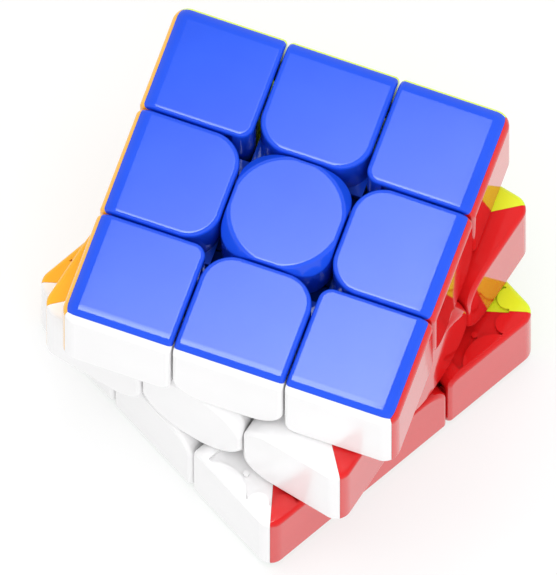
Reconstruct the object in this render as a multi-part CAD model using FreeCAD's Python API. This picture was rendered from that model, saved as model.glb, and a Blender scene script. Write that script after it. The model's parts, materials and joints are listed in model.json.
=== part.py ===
import FreeCAD, Part

import math
import os

# A 3x3x3 twisty puzzle cube without stickers, every piece moulded in its own colour.
# Millimetres, +Z up.  The green face rests on the table, the blue face is on top,
# white is at the front (-Y), red at the right (+X), yellow behind and orange left.
# The origin is the middle of the green face.  X and Y follow the core and the middle
# slice; the blue and the green layer stand part way through a turn about Z.
# Pieces are built round the middle of the cube and lifted to the table at the end.

V = FreeCAD.Vector

# Driving dimensions of the puzzle
SIDE = 56.0
HALF = SIDE / 2
LAYER = SIDE / 6
GAP = 0.30
CLEAR = GAP / 2
BLUE_TURN = 12.78
GREEN_TURN = -16.45

# Roundings seen from outside
OUTER_ROUND = 2.6
SEAM_ROUND = 0.8
CORNER_PLAN_ROUND = 2.2
EDGE_PLAN_ROUND = 5.3
EDGE_ROUND_DEPTH = 9.0
CENTRE_PLAN_ROUND = 5.2
CREASE_ROUND = 0.6

# Rounding of an edge's foot, and of what the track ball cuts out of edges and centres
INNER_ROUND = 0.3

# Mechanism: outside the track ball the layers part at LAYER, inside it at NECK,
# so that every foot reaches under its neighbour and still turns about any axis.
NECK = 6.0
TRACK_BALL = 21.0
CORE_BALL = 13.0
CORNER_FOOT_RADIUS = 8.6
WALL = 1.5
MITRE_GAP = 0.04

# Shallow pocket with pads on every corner's sliding faces; a pad is its radius and place
POCKET_DEPTH = 0.8
POCKET_NEAR = 12.4
POCKET_FAR = 27.05
POCKET_DIAGONAL = 49.6
LARGE_PAD = (5.0, 30.0, 17.2)
SMALL_PAD = (1.75, 26.1, 23.1)
DOT_PAD = (0.5, 24.2, 18.1)

# Screw stack along each arm, measured from the middle of the cube
SPIDER_BALL_RADIUS = 7.0
ARM_RADIUS = 3.5
ARM_END = 12.5
SCREW_END = 5.2
SHANK_RADIUS = 1.5
SHANK_CLEAR = 0.10
BASE_START = 12.8
BASE_FLOOR = 14.6
SPRING_POCKET_RADIUS = 4.0
SPRING_RADIUS = 2.9
SPRING_WIRE_RADIUS = 0.3
SPRING_WIRE_SIDES = 8
SPRING_TURNS = 4.5
SPRING_STEPS = 16
SPRING_SEAT = 0.03
WASHER_START = 20.2
WASHER_THICK = 0.5
WASHER_RADIUS = 3.4
HEAD_RADIUS = 3.2
HEAD_HEIGHT = 2.0
RECESS_WIDTH = 1.0
RECESS_LENGTH = 3.8
RECESS_DEPTH = 1.2

# Centre cap
CAP_SPLIT = 24.6
CAP_SPLIT_GAP = 0.06
CAP_FLAT_RADIUS = 8.75
CAP_SLOPE = 50.0
CAP_EDGE_ROUND = 0.9
CAP_PLUG_RADIUS = 6.6
CAP_PLUG_WALL = 1.1
CAP_PLUG_DEPTH = 2.4
CAP_PLUG_CLEAR = 0.08
CAP_SOCKET_DEPTH = 2.7

BIG = 60.0
TOUCH = 1e-4
X = V(1, 0, 0)
Y = V(0, 1, 0)
Z = V(0, 0, 1)
O = V(0, 0, 0)

# Colour of the face in each direction, and the turn that takes +Z there
FACES = {
    "blue": (Z, 0, X),
    "green": (-Z, 180, X),
    "white": (-Y, 90, X),
    "yellow": (Y, -90, X),
    "red": (X, 90, Y),
    "orange": (-X, -90, Y),
}


def turned(shape, axis, degrees):
    """A copy of the shape, turned about a line through the middle of the cube."""
    copy = shape.copy()
    copy.rotate(O, axis, degrees)
    return copy


def box(low, high):
    size = high - low
    return Part.makeBox(size.x, size.y, size.z, low)


def ball(radius):
    return Part.makeSphere(radius, O, Z, -90, 90, 360)


def pin(radius, start, end):
    """A cylinder on the Z axis between two heights."""
    return Part.makeCylinder(radius, end - start, V(0, 0, start), Z)


def plan_prism(low, high, radii, start, end):
    """A prism along Z on a rectangle with its own radius at each corner.

    The radii go round from the low-x low-y corner, anticlockwise."""
    corners = [V(low[0], low[1], start), V(high[0], low[1], start)]
    corners += [V(high[0], high[1], start), V(low[0], high[1], start)]
    turns = []
    for i in range(4):
        here = corners[i]
        back = (corners[i - 1] - here).normalize()
        on = (corners[(i + 1) % 4] - here).normalize()
        radius = radii[i]
        enter = here + back * radius
        leave = here + on * radius
        centre = here + (back + on) * radius
        middle = centre - (back + on).normalize() * radius
        turns.append((enter, middle, leave))
    edges = []
    for i in range(4):
        enter, middle, leave = turns[i]
        if radii[i] > 0:
            edges.append(Part.Arc(enter, middle, leave).toShape())
        edges.append(Part.makeLine(leave, turns[(i + 1) % 4][0]))
    face = Part.Face(Part.Wire(edges))
    return face.extrude(V(0, 0, end - start))


def lies_at(edge, axis, value):
    """Whether the whole edge has this coordinate along the axis."""
    points = edge.discretize(5)
    return all(abs(point.dot(axis) - value) < TOUCH for point in points)


def lies_on_ball(edge, radius):
    """Whether the whole edge is this far from the middle of the cube."""
    if edge.Degenerated:
        return False
    return all(abs(point.Length - radius) < TOUCH for point in edge.discretize(5))


def cut_round(block, radius):
    """Cuts a ball out of the block and eases the edges that this leaves."""
    block = block.cut(ball(radius))
    return block.makeFillet(INNER_ROUND, [e for e in block.Edges if lies_on_ball(e, radius)])


def outer_faces_met(edge, axes):
    return sum(lies_at(edge, axis, HALF) for axis in axes)


def round_outside(block, axes):
    """Rounds the cube's own edges first, then the seam edges round every outer face."""
    cube_edges = [e for e in block.Edges if outer_faces_met(e, axes) == 2]
    block = block.makeFillet(OUTER_ROUND, cube_edges)
    seams = [e for e in block.Edges if bounds_an_outer_face(e, block, axes)]
    return block.makeFillet(SEAM_ROUND, seams)


def bounds_an_outer_face(edge, block, axes):
    """Whether the edge runs between an outer surface and a flat sliding face or its
    rounded corner, which is where the seams between the pieces are."""
    kinds = [is_outer_surface(face, axes) for face in block.ancestorsOfType(edge, Part.Face)]
    return len(kinds) == 2 and kinds[0] != kinds[1]


def is_outer_surface(face, axes):
    """Outer faces, and the roundings between them, lie wholly outside this depth."""
    depth = HALF - OUTER_ROUND - TOUCH
    middle = face.valueAt(*middle_parameters(face))
    normal = face.normalAt(*middle_parameters(face))
    outward = max(normal.dot(axis) for axis in axes)
    return outward > 0.5 and max(middle.dot(axis) for axis in axes) > depth


def middle_parameters(face):
    low_u, high_u, low_v, high_v = face.ParameterRange
    return (low_u + high_u) / 2, (low_v + high_v) / 2


def colour_wedge():
    """The part of the cube nearest the +Z face, short of the mitre planes."""
    rise = MITRE_GAP / 2 * math.sqrt(2)
    tip = V(0, 0, rise)
    ring = [V(sx * BIG, sy * BIG, BIG + rise) for sx, sy in ((-1, -1), (1, -1), (1, 1), (-1, 1))]
    sides = [Part.Face(Part.makePolygon([tip, ring[i], ring[(i + 1) % 4], tip])) for i in range(4)]
    lid = Part.Face(Part.makePolygon(ring + [ring[0]]))
    return Part.Solid(Part.Shell(sides + [lid]))


def corner_pads():
    """Raised pads in the pocket of a sliding face, the same on both sides of the mitre."""
    pads = []
    for radius, x, y in (LARGE_PAD, SMALL_PAD, DOT_PAD):
        for at in (V(x, y, 0), V(y, x, 0)):
            pads.append(Part.makeCylinder(radius, BIG, at, Z))
    return pads


def corner_pocket():
    """The hollow in the sliding face that looks along -Z."""
    floor = LAYER + CLEAR + POCKET_DEPTH
    near = POCKET_NEAR
    far = POCKET_FAR
    cut = POCKET_DIAGONAL - far
    outline = [V(near, near, 0), V(far, near, 0), V(far, cut, 0), V(cut, far, 0), V(near, far, 0)]
    face = Part.Face(Part.makePolygon(outline + [outline[0]]))
    pocket = face.extrude(V(0, 0, floor))
    for pad in corner_pads():
        pocket = pocket.cut(pad)
    return pocket


def corner_piece():
    """A corner: a hollow block with a round foot that reaches under its neighbours."""
    low = LAYER + CLEAR
    radii = (CORNER_PLAN_ROUND, 0, 0, 0)
    plan = plan_prism((low, low), (HALF, HALF), radii, low, HALF)
    diagonal = V(1, 1, 1)
    block = plan.common(turned(plan, diagonal, 120)).common(turned(plan, diagonal, 240))
    block = round_outside(block, (X, Y, Z))
    inside = box(V(low + WALL, low + WALL, low + WALL), V(HALF - WALL, HALF - WALL, HALF - WALL))
    inside = inside.cut(ball(TRACK_BALL + CLEAR + WALL))
    block = block.cut(inside)
    pocket = corner_pocket()
    for angle in (0, 120, 240):
        block = block.cut(turned(pocket, diagonal, angle))
    foot_low = NECK + CLEAR
    foot = box(V(foot_low, foot_low, foot_low), V(HALF, HALF, HALF))
    foot = foot.common(ball(TRACK_BALL - CLEAR)).cut(ball(CORE_BALL + CLEAR))
    foot = foot.common(Part.makeCylinder(CORNER_FOOT_RADIUS, BIG, O, diagonal))
    return block.fuse(foot).removeSplitter()


def edge_piece():
    """An edge between the +Z and the +Y face, with a foot under the two centres.

    Its two inner corners are rounded down to a ledge, and square below it."""
    low = LAYER + CLEAR
    side = LAYER - CLEAR
    swap = V(0, 1, -1)
    radii = (EDGE_PLAN_ROUND, EDGE_PLAN_ROUND, 0, 0)
    ledge = HALF - EDGE_ROUND_DEPTH
    plan = plan_prism((-side, low), (side, HALF), radii, ledge, HALF)
    plan = plan.fuse(box(V(-side, low, low), V(side, HALF, ledge)))
    block = plan.common(plan.mirror(O, swap)).removeSplitter()
    block = cut_round(round_outside(block, (Y, Z)), TRACK_BALL + CLEAR)
    radii = (EDGE_PLAN_ROUND - WALL, EDGE_PLAN_ROUND - WALL, 0, 0)
    near = low + WALL
    far = HALF - WALL
    inside = plan_prism((WALL - side, near), (side - WALL, far), radii, near, far)
    inside = inside.common(inside.mirror(O, swap))
    block = block.cut(inside.cut(ball(TRACK_BALL + CLEAR + WALL)))
    neck_side = NECK - CLEAR
    foot_low = NECK + CLEAR
    foot = box(V(-neck_side, foot_low, foot_low), V(neck_side, HALF, HALF))
    foot = foot.common(ball(TRACK_BALL - CLEAR)).cut(ball(CORE_BALL + CLEAR))
    foot = foot.makeFillet(INNER_ROUND, foot.Edges)
    neck = box(V(-neck_side, low, low), V(neck_side, HALF, HALF))
    neck = neck.common(ball(TRACK_BALL + CLEAR + WALL / 2)).cut(ball(CORE_BALL + CLEAR))
    return block.fuse(foot).fuse(neck).removeSplitter()


def cap_dome():
    """The turned outline of a centre: a flat disc whose edge slopes away outwards."""
    slope = math.radians(CAP_SLOPE)
    start = V(CAP_FLAT_RADIUS, 0, HALF)
    centre = start - V(0, 0, CAP_EDGE_ROUND)
    middle = centre + V(math.sin(slope / 2), 0, math.cos(slope / 2)) * CAP_EDGE_ROUND
    leave = centre + V(math.sin(slope), 0, math.cos(slope)) * CAP_EDGE_ROUND
    run = SIDE / 4 - leave.x
    rim = leave + V(run, 0, -run * math.tan(slope))
    edges = [Part.makeLine(V(0, 0, 0), V(0, 0, HALF))]
    edges.append(Part.makeLine(V(0, 0, HALF), start))
    edges.append(Part.Arc(start, middle, leave).toShape())
    edges.append(Part.makeLine(leave, rim))
    edges.append(Part.makeLine(rim, V(rim.x, 0, 0)))
    edges.append(Part.makeLine(V(rim.x, 0, 0), V(0, 0, 0)))
    return Part.Face(Part.Wire(edges)).revolve(O, Z, 360)


def centre_block(start, end):
    side = LAYER - CLEAR
    radii = (CENTRE_PLAN_ROUND,) * 4
    return plan_prism((-side, -side), (side, side), radii, start, end)


def bounds_the_slope(edge, cap):
    """Whether the edge is the crease between a side of the cap and its slope."""
    surfaces = [type(face.Surface) for face in cap.ancestorsOfType(edge, Part.Face)]
    return Part.Cone in surfaces and Part.Toroid not in surfaces and len(surfaces) == 2


def centre_cap():
    """The snap-on cover of a centre, with a ring that plugs into the base."""
    cap = centre_block(CAP_SPLIT, HALF).common(cap_dome())
    cap = cap.makeFillet(CREASE_ROUND, [e for e in cap.Edges if bounds_the_slope(e, cap)])
    cap = cap.cut(pin(CAP_PLUG_RADIUS, CAP_SPLIT - 1, HALF - WALL))
    ring = pin(CAP_PLUG_RADIUS, CAP_SPLIT - CAP_PLUG_DEPTH, HALF - WALL)
    ring = ring.cut(pin(CAP_PLUG_RADIUS - CAP_PLUG_WALL, CAP_SPLIT - CAP_PLUG_DEPTH - 1, HALF))
    return cap.fuse(ring).removeSplitter()


def centre_base():
    """The turning body of a centre: a square stem on the screw, and a head above it."""
    top = CAP_SPLIT - CAP_SPLIT_GAP
    side = NECK - CLEAR
    head = cut_round(centre_block(BASE_FLOOR, top), TRACK_BALL + CLEAR)
    radii = (INNER_ROUND,) * 4
    stem = plan_prism((-side, -side), (side, side), radii, BASE_START, top)
    stem = stem.makeFillet(INNER_ROUND / 2, [e for e in stem.Edges if lies_at(e, Z, BASE_START)])
    base = head.fuse(stem)
    base = base.cut(pin(SHANK_RADIUS + SHANK_CLEAR, 0, top))
    base = base.cut(pin(SPRING_POCKET_RADIUS, BASE_FLOOR, top + 1))
    base = base.cut(pin(CAP_PLUG_RADIUS + CAP_PLUG_CLEAR, CAP_SPLIT - CAP_SOCKET_DEPTH, top + 1))
    return base.removeSplitter()


def core_spider():
    """The ball in the middle, with six arms that take the screws."""
    core = ball(SPIDER_BALL_RADIUS)
    for _, degrees, axis in FACES.values():
        core = core.fuse(turned(pin(ARM_RADIUS, 0, ARM_END), axis, degrees))
    core = core.removeSplitter()
    for _, degrees, axis in FACES.values():
        core = core.cut(turned(pin(SHANK_RADIUS, SCREW_END, ARM_END + 1), axis, degrees))
    return core


def screw():
    """A tension screw: a shank and a pan head with a cross recess."""
    seat = WASHER_START + WASHER_THICK
    top = seat + HEAD_HEIGHT
    head = pin(HEAD_RADIUS, seat, top)
    rim = [e for e in head.Edges if lies_at(e, Z, top)]
    head = head.makeFillet(HEAD_HEIGHT * 0.4, rim)
    body = head.fuse(pin(SHANK_RADIUS, SCREW_END, seat))
    reach = RECESS_LENGTH / 2
    width = RECESS_WIDTH / 2
    for x, y in ((reach, width), (width, reach)):
        body = body.cut(box(V(-x, -y, top - RECESS_DEPTH), V(x, y, top + 1)))
    return body


def washer():
    end = WASHER_START + WASHER_THICK
    return pin(WASHER_RADIUS, WASHER_START, end).cut(pin(SHANK_RADIUS, 0, BIG))


def wire_section(angle, height, lead):
    """A section across the spring's wire, square to the helix."""
    tilt = math.atan2(lead, 2 * math.pi * SPRING_RADIUS)
    out = V(math.cos(angle), math.sin(angle), 0)
    up = V(math.sin(angle) * math.sin(tilt), -math.cos(angle) * math.sin(tilt), math.cos(tilt))
    centre = out * SPRING_RADIUS + V(0, 0, height)
    ring = []
    for i in range(SPRING_WIRE_SIDES):
        round_wire = 2 * math.pi * i / SPRING_WIRE_SIDES
        point = out * math.cos(round_wire) + up * math.sin(round_wire)
        ring.append(centre + point * SPRING_WIRE_RADIUS)
    return Part.makePolygon(ring + [ring[0]])


def spring():
    """A coil spring between the floor of the base and the washer."""
    low = BASE_FLOOR + SPRING_SEAT + SPRING_WIRE_RADIUS
    lead = (WASHER_START - SPRING_WIRE_RADIUS - low) / SPRING_TURNS
    sections = []
    for i in range(round(SPRING_TURNS * SPRING_STEPS) + 1):
        turn = i / SPRING_STEPS
        sections.append(wire_section(2 * math.pi * turn, low + lead * turn, lead))
    return Part.makeLoft(sections, True, True)


def on_every_face(piece):
    """The same piece on all six faces."""
    return {colour: turned(piece, axis, degrees) for colour, (_, degrees, axis) in FACES.items()}


def colour_towards(direction):
    """The colour of the face that looks this way."""
    return next(colour for colour, (normal, _, _) in FACES.items() if normal.dot(direction) > 0.9)


def shells_of(piece, lean):
    """All 24 copies of a +Z shell, by the colours of the cubie and of the shell itself.

    lean lists the other faces of the cubie, as directions from the +Z face."""
    shells = {}
    for colour, (_, degrees, axis) in FACES.items():
        for quarter in range(4):
            towards = FreeCAD.Rotation(axis, degrees).multiply(FreeCAD.Rotation(Z, 90 * quarter))
            others = [colour_towards(towards.multVec(way)) for way in lean]
            cubie = tuple(name for name in FACES if name in others + [colour])
            shells[cubie, colour] = turned(turned(piece, Z, 90 * quarter), axis, degrees)
    return shells


def layer_of(cubie):
    """The layer that a cubie turns with in the rest pose."""
    return next((colour for colour in ("blue", "green") if colour in cubie), "middle")


LAYER_TURN = {"blue": BLUE_TURN, "green": GREEN_TURN, "middle": 0.0}


def all_nodes():
    nodes = {"core_spider": (core_spider(), "middle")}
    for name, piece in (("tension_screws", screw()), ("washers", washer())):
        nodes[name] = (Part.makeCompound(list(on_every_face(piece).values())), "middle")
    springs = on_every_face(spring())
    for colour in ("blue", "green"):
        nodes[f"{colour}_spring"] = (springs.pop(colour), "middle")
    nodes["middle_slice_springs"] = (Part.makeCompound(list(springs.values())), "middle")
    for name, piece in (("centre_base", centre_base()), ("centre_cap", centre_cap())):
        for colour, placed in on_every_face(piece).items():
            nodes[f"{colour}_{name}"] = (placed, layer_of((colour,)))
    wedge = colour_wedge()
    for (cubie, colour), shell in shells_of(edge_piece().common(wedge), (Y,)).items():
        nodes["_".join(cubie) + f"_edge_{colour}_shell"] = (shell, layer_of(cubie))
    caps = {"blue": [], "green": []}
    for (cubie, colour), shell in shells_of(corner_piece().common(wedge), (X, Y)).items():
        if colour in caps:
            caps[colour].append(shell)
        else:
            nodes["_".join(cubie) + f"_corner_{colour}_shell"] = (shell, layer_of(cubie))
    for colour, shells in caps.items():
        nodes[f"{colour}_corner_shells"] = (Part.makeCompound(shells), colour)
    return nodes


os.makedirs("parts", exist_ok=True)
for name, (shape, layer) in all_nodes().items():
    placed = turned(shape, Z, LAYER_TURN[layer])
    placed.translate(V(0, 0, HALF))
    placed.exportStep(f"parts/{name}.step")
    print(name, len(placed.Solids), placed.isValid(), round(placed.Volume, 1))
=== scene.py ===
import json
import math

import bmesh
import bpy
from mathutils import Matrix, Vector


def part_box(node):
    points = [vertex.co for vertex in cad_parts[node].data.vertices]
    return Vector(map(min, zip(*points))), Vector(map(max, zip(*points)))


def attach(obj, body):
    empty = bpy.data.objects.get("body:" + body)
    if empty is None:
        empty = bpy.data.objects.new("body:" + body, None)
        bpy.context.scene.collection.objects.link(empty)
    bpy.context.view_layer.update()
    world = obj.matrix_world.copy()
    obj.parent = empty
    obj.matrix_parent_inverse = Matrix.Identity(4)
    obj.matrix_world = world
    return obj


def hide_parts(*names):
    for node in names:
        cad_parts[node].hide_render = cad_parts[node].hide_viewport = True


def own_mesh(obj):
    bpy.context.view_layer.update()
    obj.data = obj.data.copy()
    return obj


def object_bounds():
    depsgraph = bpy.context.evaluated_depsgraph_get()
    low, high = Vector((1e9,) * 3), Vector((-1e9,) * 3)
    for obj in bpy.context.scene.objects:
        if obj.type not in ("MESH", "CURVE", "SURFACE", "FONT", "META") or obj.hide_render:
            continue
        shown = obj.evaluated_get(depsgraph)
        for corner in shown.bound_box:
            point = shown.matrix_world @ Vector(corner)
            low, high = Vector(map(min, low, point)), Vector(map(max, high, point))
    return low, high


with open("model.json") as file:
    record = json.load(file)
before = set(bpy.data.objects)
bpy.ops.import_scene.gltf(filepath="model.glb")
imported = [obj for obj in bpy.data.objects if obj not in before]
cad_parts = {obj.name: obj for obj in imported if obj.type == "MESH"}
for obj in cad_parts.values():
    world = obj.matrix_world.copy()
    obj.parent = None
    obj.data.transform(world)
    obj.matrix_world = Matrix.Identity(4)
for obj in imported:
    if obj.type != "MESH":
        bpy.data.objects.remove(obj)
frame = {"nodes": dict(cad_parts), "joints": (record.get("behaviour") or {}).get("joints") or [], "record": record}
cad_low, cad_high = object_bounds()

MM = 0.001
MIDDLE = (cad_low + cad_high) / 2
COLOURS = ("blue", "green", "white", "yellow", "red", "orange")

# The view: straight parallel rays, as from far away
AZIMUTH = math.radians(32.35)
ELEVATION = math.radians(69.1)
FRAME_HEIGHT = 90.27 * MM
AIM_ABOVE_TABLE = 55.5 * MM
AIM_SHIFT_RIGHT = -1.21 * MM
AIM_SHIFT_UP = -11.68 * MM
CAMERA_DISTANCE = 0.6
NEAREST_SEEN = 0.01
FARTHEST_SEEN = 10


def view_axes():
    """The directions from the object back to the camera, to its right and up."""
    level = math.cos(ELEVATION)
    back = Vector((math.sin(AZIMUTH) * level, -math.cos(AZIMUTH) * level, math.sin(ELEVATION)))
    right = Vector((math.cos(AZIMUTH), math.sin(AZIMUTH), 0))
    return back, right, back.cross(right)


def make_camera():
    back, right, up = view_axes()
    aim = Vector((0, 0, AIM_ABOVE_TABLE)) + right * AIM_SHIFT_RIGHT + up * AIM_SHIFT_UP
    data = bpy.data.cameras.new("camera")
    data.type = "ORTHO"
    data.ortho_scale = FRAME_HEIGHT
    data.clip_start = NEAREST_SEEN
    data.clip_end = FARTHEST_SEEN
    camera = bpy.data.objects.new("camera", data)
    turn = Matrix((right, up, back)).transposed().to_4x4()
    camera.matrix_world = Matrix.Translation(aim + back * CAMERA_DISTANCE) @ turn
    bpy.context.scene.collection.objects.link(camera)
    bpy.context.scene.camera = camera


# Materials. The scale of a noise is in features to the metre

# Nearly all of a noise lies between these
NOISE_LOW = 0.3
NOISE_HIGH = 0.7


def new_material(name):
    material = bpy.data.materials.new(name)
    material.use_nodes = True
    tree = material.node_tree
    return material, tree, tree.nodes["Principled BSDF"]


def noise(tree, scale, detail, roughness=0.5):
    """Seeded only by place, so that it is the same on every run."""
    place = tree.nodes.new("ShaderNodeTexCoord")
    texture = tree.nodes.new("ShaderNodeTexNoise")
    texture.inputs["Scale"].default_value = scale
    texture.inputs["Detail"].default_value = detail
    texture.inputs["Roughness"].default_value = roughness
    tree.links.new(place.outputs["Object"], texture.inputs["Vector"])
    return texture.outputs["Fac"]


def spread(tree, value, low, high):
    """Maps a noise value to a number between low and high."""
    node = tree.nodes.new("ShaderNodeMapRange")
    node.inputs["From Min"].default_value = NOISE_LOW
    node.inputs["From Max"].default_value = NOISE_HIGH
    node.inputs["To Min"].default_value = low
    node.inputs["To Max"].default_value = high
    tree.links.new(value, node.inputs["Value"])
    return node.outputs["Result"]


def two_colours(tree, factor, first, second):
    """Runs from the first colour to the second as factor goes from 0 to 1."""
    node = tree.nodes.new("ShaderNodeMix")
    node.data_type = "RGBA"
    tree.links.new(factor, node.inputs["Factor"])
    node.inputs["A"].default_value = (*first, 1)
    node.inputs["B"].default_value = (*second, 1)
    return node.outputs["Result"]


def bump(tree, height, distance, strength):
    """A surface normal tilted by a height that varies by up to distance."""
    node = tree.nodes.new("ShaderNodeBump")
    node.inputs["Distance"].default_value = distance
    node.inputs["Strength"].default_value = strength
    tree.links.new(height, node.inputs["Height"])
    return node.outputs["Normal"]


# The two ends of each plastic's flow marks
PLASTIC = {
    "blue": ((0.009, 0.072, 0.69), (0.012, 0.081, 0.73)),
    "green": ((0.0, 0.30, 0.050), (0.002, 0.33, 0.06)),
    "white": ((0.90, 0.895, 0.90), (0.92, 0.915, 0.92)),
    "yellow": ((0.71, 0.91, 0.020), (0.74, 0.94, 0.028)),
    "red": ((0.66, 0.009, 0.010), (0.70, 0.013, 0.014)),
    "orange": ((0.94, 0.46, 0.018), (0.96, 0.49, 0.026)),
}

# White is less polished than the rest, and red mirrors a little less
ROUGHNESS = 0.04
WHITE_ROUGHNESS = 0.17
WIPE_MARKS = 0.04
REFRACTION = 1.5
RED_REFRACTION = 1.46

# Painted shade for the deep gaps: within the first distance from the core the shells' colour is darkened fully,
# from the second distance out it is left as it is, and the last number is how dark it gets
CORE_SHADE_REACH = 21.0 * MM
UNSHADED_REACH = 25.0 * MM
CORE_SHADE_FACTOR = 0.15

CORE_COLOURS = ((0.018, 0.018, 0.020), (0.035, 0.035, 0.038))
CORE_ROUGHNESS = (0.30, 0.48)

# The darker and the lighter colour of each steel, and the range of its roughness
STEEL = {
    "bright_steel": ((0.55, 0.55, 0.57), (0.68, 0.68, 0.70), (0.18, 0.30)),
    "spring_steel": ((0.42, 0.42, 0.44), (0.52, 0.52, 0.54), (0.22, 0.36)),
}


def paint_core_shade(tree, colour):
    """Paints shade into a colour: darkens it towards the core, where the pieces slide on each other and the gaps
    between them are deep.
    """
    place = tree.nodes.new("ShaderNodeTexCoord")
    away = tree.nodes.new("ShaderNodeVectorMath")
    away.operation = "DISTANCE"
    away.inputs[1].default_value = MIDDLE
    shade = tree.nodes.new("ShaderNodeMapRange")
    shade.interpolation_type = "SMOOTHSTEP"
    shade.inputs["From Min"].default_value = CORE_SHADE_REACH
    shade.inputs["From Max"].default_value = UNSHADED_REACH
    shade.inputs["To Min"].default_value = CORE_SHADE_FACTOR
    scaled = tree.nodes.new("ShaderNodeVectorMath")
    scaled.operation = "SCALE"
    tree.links.new(place.outputs["Object"], away.inputs[0])
    tree.links.new(away.outputs["Value"], shade.inputs["Value"])
    tree.links.new(colour, scaled.inputs[0])
    tree.links.new(shade.outputs["Result"], scaled.inputs["Scale"])
    return scaled.outputs["Vector"]


def polished_plastic(name, colour, core_shaded):
    """Moulded ABS: faint flow marks in the colour, a slight ripple, and fine wipe marks."""
    material, tree, shader = new_material(name)
    flow = spread(tree, noise(tree, scale=90, detail=3), 0, 1)
    shown = two_colours(tree, flow, *PLASTIC[colour])
    # Painted shade: the colour is darkened towards the core
    if core_shaded:
        shown = paint_core_shade(tree, shown)
    tree.links.new(shown, shader.inputs["Base Color"])
    gloss = WHITE_ROUGHNESS if colour == "white" else ROUGHNESS
    marks = noise(tree, scale=420, detail=4, roughness=0.6)
    wiped = spread(tree, marks, gloss, gloss + WIPE_MARKS)
    tree.links.new(wiped, shader.inputs["Roughness"])
    ripple = noise(tree, scale=260, detail=2)
    waved = bump(tree, ripple, distance=0.002 * MM, strength=0.4)
    tree.links.new(waved, shader.inputs["Normal"])
    shader.inputs["IOR"].default_value = RED_REFRACTION if colour == "red" else REFRACTION
    return material


def make_plastics(kind, core_shaded):
    return {colour: polished_plastic(f"{colour}_{kind}", colour, core_shaded) for colour in COLOURS}


def make_core_plastic():
    """Matt dark plastic with a fine grain."""
    material, tree, shader = new_material("core_plastic")
    shade = spread(tree, noise(tree, scale=200, detail=4), 0, 1)
    tree.links.new(two_colours(tree, shade, *CORE_COLOURS), shader.inputs["Base Color"])
    matt = spread(tree, noise(tree, scale=500, detail=3), *CORE_ROUGHNESS)
    tree.links.new(matt, shader.inputs["Roughness"])
    grain = noise(tree, scale=1500, detail=3)
    grained = bump(tree, grain, distance=0.02 * MM, strength=0.4)
    tree.links.new(grained, shader.inputs["Normal"])
    return material


def make_steel(name):
    """Drawn steel, slightly mottled and scratched."""
    dark, light, roughness = STEEL[name]
    material, tree, shader = new_material(name)
    shade = spread(tree, noise(tree, scale=900, detail=4), 0, 1)
    tree.links.new(two_colours(tree, shade, dark, light), shader.inputs["Base Color"])
    drawn = spread(tree, noise(tree, scale=2500, detail=2), *roughness)
    tree.links.new(drawn, shader.inputs["Roughness"])
    scratches = noise(tree, scale=4000, detail=2)
    scratched = bump(tree, scratches, distance=0.01 * MM, strength=0.3)
    tree.links.new(scratched, shader.inputs["Normal"])
    shader.inputs["Metallic"].default_value = 1
    return material


# The object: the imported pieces, with their looks

def dress(node, material):
    """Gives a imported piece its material."""
    piece = frame["nodes"][node]
    piece.data.materials.clear()
    piece.data.materials.append(material)


# The tension springs: round wire whose end turns lie close, as they are wound

SPRING_TURNS = 4.5
CLOSED_TURNS = 0.8
OPENING_TURNS = 0.4
WIRE_RADIUS = 0.3 * MM
CLOSED_PITCH = 2.1 * WIRE_RADIUS
WIRE_SIDES = 12
STEPS_PER_TURN = 40
SHARP_ANGLE = math.radians(50)


def openness(turn):
    """How far the winding has opened, from 0 at the closed ends to 1 between them."""
    from_end = min(turn, SPRING_TURNS - turn)
    share = min(max((from_end - CLOSED_TURNS) / OPENING_TURNS, 0), 1)
    return share * share * (3 - 2 * share)


def coil_heights(length):
    """The wire's height at each step, for a spring of this length from end to end."""
    steps = round(SPRING_TURNS * STEPS_PER_TURN)
    open_shares = [openness((i + 0.5) / STEPS_PER_TURN) / STEPS_PER_TURN for i in range(steps)]
    rise = length - 2 * WIRE_RADIUS - CLOSED_PITCH * SPRING_TURNS
    extra_pitch = rise / sum(open_shares)
    heights = [WIRE_RADIUS]
    for share in open_shares:
        heights.append(heights[-1] + CLOSED_PITCH / STEPS_PER_TURN + extra_pitch * share)
    return heights


def wire_ring(out, around, centre):
    """A round section of the wire, in the plane of the spring's axis."""
    ring = []
    for i in range(WIRE_SIDES):
        angle = 2 * math.pi * i / WIRE_SIDES
        ring.append(centre + (out * math.cos(angle) + around * math.sin(angle)) * WIRE_RADIUS)
    return ring


def spring_mesh(name, foot, axis, length, radius):
    """One coil standing on foot along axis, with its two ends cut square."""
    side = axis.orthogonal().normalized()
    mesh = bmesh.new()
    rings = []
    for i, height in enumerate(coil_heights(length)):
        angle = 2 * math.pi * i / STEPS_PER_TURN
        out = Matrix.Rotation(angle, 3, axis) @ side
        centre = foot + axis * height + out * radius
        rings.append([mesh.verts.new(point) for point in wire_ring(out, axis, centre)])
    for ring, following in zip(rings, rings[1:]):
        for i in range(WIRE_SIDES):
            j = (i + 1) % WIRE_SIDES
            mesh.faces.new((ring[i], ring[j], following[j], following[i])).smooth = True
    mesh.faces.new(reversed(rings[0]))
    mesh.faces.new(rings[-1])
    bmesh.ops.recalc_face_normals(mesh, faces=mesh.faces)
    data = bpy.data.meshes.new(name)
    mesh.to_mesh(data)
    mesh.free()
    data.set_sharp_from_angle(angle=SHARP_ANGLE)
    return data


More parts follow.
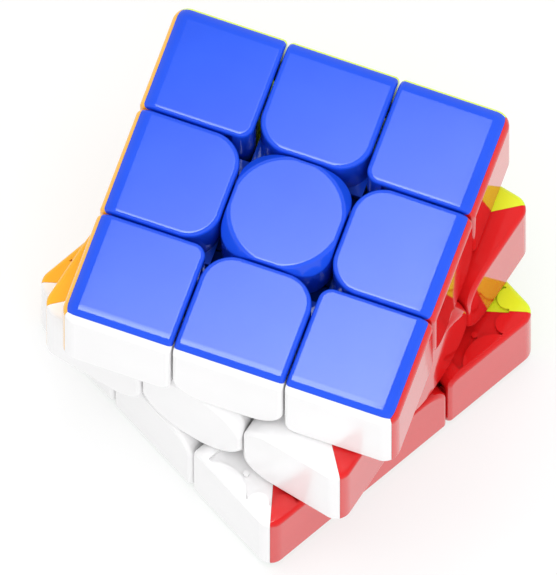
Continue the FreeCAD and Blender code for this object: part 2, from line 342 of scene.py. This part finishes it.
def make_springs(wire):
    """A spring under each centre, attached to the middle slice.

    All six are alike, and the blue one stands upright, so its box gives the size of each.
    """
    low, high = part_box("blue_spring")
    start = low.z - MIDDLE.z
    length = high.z - low.z
    radius = (high.x - low.x) / 2 - WIRE_RADIUS
    for colour in COLOURS:
        joint = next(j for j in frame["joints"] if j["name"] == colour + "_centre_travel")
        axis = Vector(joint["axis"])
        name = colour + "_coil"
        mesh = spring_mesh(name, MIDDLE + axis * start, axis, length, radius)
        piece = bpy.data.objects.new(name, mesh)
        bpy.context.scene.collection.objects.link(piece)
        piece.data.materials.append(wire)
        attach(piece, "middle_slice")
        grouped = colour + "_spring" not in frame["nodes"]
        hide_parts("middle_slice_springs" if grouped else colour + "_spring")
        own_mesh(piece)


def dress_everything():
    unshaded = make_plastics("plastic", core_shaded=False)
    # Each plastic again, with shade painted in towards the core
    core_shaded = make_plastics("core_shaded_plastic", core_shaded=True)
    uncoloured = {"core_plastic": make_core_plastic()}
    uncoloured.update({name: make_steel(name) for name in STEEL})
    for part in frame["record"]["subparts"]:
        node, slot = part["node"], part["material_slot"]
        if slot in uncoloured:
            dress(node, uncoloured[slot])
        else:
            # The shells get the plastics with shade painted in towards the core
            plastics = core_shaded if "shell" in node else unshaded
            dress(node, plastics[slot.removesuffix("_plastic")])
    make_springs(uncoloured["spring_steel"])


# The studio

FLOOR_SIDE = 4
FLOOR_COLOURS = ((0.21, 0.21, 0.21), (0.23, 0.23, 0.23))
FLOOR_ROUGHNESS = (0.6, 0.7)
FLOOR_GLOW = 0.73

# Keeps the floor off the green face, which is level with the table
FLOOR_DROP = 0.02 * MM

BLUE_TURN = math.radians(12.78)
CARD_HEIGHT = 120 * MM
CARD_HALF_WIDTH = 26.2 * MM
CARD_FAR_END = 26.2 * MM
CARD_NEAR_END = -112 * MM
CARD_TINT = (0.92, 1, 1, 1)

# The card's glow along CARD_BRIGHTENS is CARD_DIM at minus CARD_HALF_RUN, CARD_GAIN more at
# plus CARD_HALF_RUN, and goes on rising as far as CARD_LONGER times that
CARD_BRIGHTENS = (0.65, -0.76, 0)
CARD_HALF_RUN = 33.8 * MM
CARD_LONGER = 1.35
CARD_DIM = 0.88
CARD_GAIN = 7.0
CARD_CURVE = 1.35

# The world is SKY_AROUND bright up to the height DIMS_FROM and SKY_OVERHEAD from DIMS_TO up,
# where a height of 0 is level and 1 is straight up
SKY_AROUND = 0.78
SKY_OVERHEAD = 0.5
DIMS_FROM = 0.2
DIMS_TO = 0.8

# Where the fill lights are: one straight above, and one in front and a little to the right
OVERHEAD_HEIGHT = 0.65
FRONT_RISE = 0.3
FRONT_REACH = 1.2
FRONT_SHIFT_RIGHT = 0.1

WHITE = (1, 1, 1, 1)


def make_floor_material():
    material, tree, shader = new_material("pale_floor")
    shade = spread(tree, noise(tree, scale=6, detail=3), 0, 1)
    tree.links.new(two_colours(tree, shade, *FLOOR_COLOURS), shader.inputs["Base Color"])
    shader.inputs["Emission Color"].default_value = WHITE
    shader.inputs["Emission Strength"].default_value = FLOOR_GLOW
    matt = spread(tree, noise(tree, scale=40, detail=3), *FLOOR_ROUGHNESS)
    tree.links.new(matt, shader.inputs["Roughness"])
    return material


def make_floor():
    bpy.ops.mesh.primitive_plane_add(size=FLOOR_SIDE, location=(0, 0, -FLOOR_DROP))
    floor = bpy.context.object
    floor.name = "floor"
    floor.data.materials.append(make_floor_material())


def make_card_material():
    """A soft panel that grows brighter from its far left corner to its near right one."""
    material = bpy.data.materials.new("reflection_card")
    material.use_nodes = True
    tree = material.node_tree
    tree.nodes.clear()
    place = tree.nodes.new("ShaderNodeTexCoord")
    along = tree.nodes.new("ShaderNodeVectorMath")
    along.operation = "DOT_PRODUCT"
    along.inputs[1].default_value = CARD_BRIGHTENS
    run = tree.nodes.new("ShaderNodeMapRange")
    run.inputs["From Min"].default_value = -CARD_HALF_RUN
    run.inputs["From Max"].default_value = CARD_HALF_RUN * CARD_LONGER
    run.inputs["To Max"].default_value = (CARD_LONGER + 1) / 2
    curve = tree.nodes.new("ShaderNodeMath")
    curve.operation = "POWER"
    curve.inputs[1].default_value = CARD_CURVE
    strength = tree.nodes.new("ShaderNodeMath")
    strength.operation = "MULTIPLY_ADD"
    strength.inputs[1].default_value = CARD_GAIN
    strength.inputs[2].default_value = CARD_DIM
    glow = tree.nodes.new("ShaderNodeEmission")
    glow.inputs["Color"].default_value = CARD_TINT
    out = tree.nodes.new("ShaderNodeOutputMaterial")
    tree.links.new(place.outputs["Object"], along.inputs[0])
    tree.links.new(along.outputs["Value"], run.inputs["Value"])
    tree.links.new(run.outputs["Result"], curve.inputs[0])
    tree.links.new(curve.outputs["Value"], strength.inputs[0])
    tree.links.new(strength.outputs["Value"], glow.inputs["Strength"])
    tree.links.new(glow.outputs["Emission"], out.inputs["Surface"])
    return material


def make_card(back):
    """A panel square to the blue layer, seen only as a reflection in its top face."""
    reach = CARD_HEIGHT / back.z
    corners = [
        (-CARD_HALF_WIDTH, CARD_NEAR_END, 0),
        (CARD_HALF_WIDTH, CARD_NEAR_END, 0),
        (CARD_HALF_WIDTH, CARD_FAR_END, 0),
        (-CARD_HALF_WIDTH, CARD_FAR_END, 0),
    ]
    mesh = bpy.data.meshes.new("reflection_card")
    mesh.from_pydata(corners, [], [(0, 1, 2, 3)])
    card = bpy.data.objects.new("reflection_card", mesh)
    mirrored = Vector((-back.x, -back.y, back.z))
    card.location = Vector((0, 0, cad_high.z)) + mirrored * reach
    card.rotation_euler = (0, 0, BLUE_TURN)
    card.data.materials.append(make_card_material())
    card.visible_camera = False
    card.visible_diffuse = False
    card.visible_shadow = False
    bpy.context.scene.collection.objects.link(card)


def area_light(name, place, size, power):
    """A soft light that fills the shade and leaves no mark of its own on the gloss."""
    data = bpy.data.lights.new(name, "AREA")
    data.size = size
    data.energy = power
    light = bpy.data.objects.new(name, data)
    light.location = place
    light.rotation_euler = (MIDDLE - place).to_track_quat("-Z", "Y").to_euler()
    light.visible_camera = False
    light.visible_glossy = False
    bpy.context.scene.collection.objects.link(light)


def make_world():
    """White all round, dimmer overhead."""
    world = bpy.data.worlds.new("studio")
    world.use_nodes = True
    tree = world.node_tree
    place = tree.nodes.new("ShaderNodeTexCoord")
    height = tree.nodes.new("ShaderNodeSeparateXYZ")
    fade = tree.nodes.new("ShaderNodeMapRange")
    fade.interpolation_type = "SMOOTHSTEP"
    fade.inputs["From Min"].default_value = DIMS_FROM
    fade.inputs["From Max"].default_value = DIMS_TO
    fade.inputs["To Min"].default_value = SKY_AROUND
    fade.inputs["To Max"].default_value = SKY_OVERHEAD
    tree.links.new(place.outputs["Generated"], height.inputs["Vector"])
    tree.links.new(height.outputs["Z"], fade.inputs["Value"])
    background = tree.nodes["Background"]
    background.inputs["Color"].default_value = WHITE
    tree.links.new(fade.outputs["Result"], background.inputs["Strength"])
    bpy.context.scene.world = world


def make_studio():
    make_world()
    back, right, _ = view_axes()
    above = Vector((0, 0, OVERHEAD_HEIGHT))
    in_front = Vector((back.x, back.y, FRONT_RISE)) * FRONT_REACH + right * FRONT_SHIFT_RIGHT
    area_light("overhead_fill", above, size=0.5, power=3.1)
    area_light("front_fill", in_front, size=0.4, power=0.75)
    make_card(back)
    make_floor()


bpy.context.scene.view_settings.view_transform = "Standard"
make_camera()
make_studio()
dress_everything()
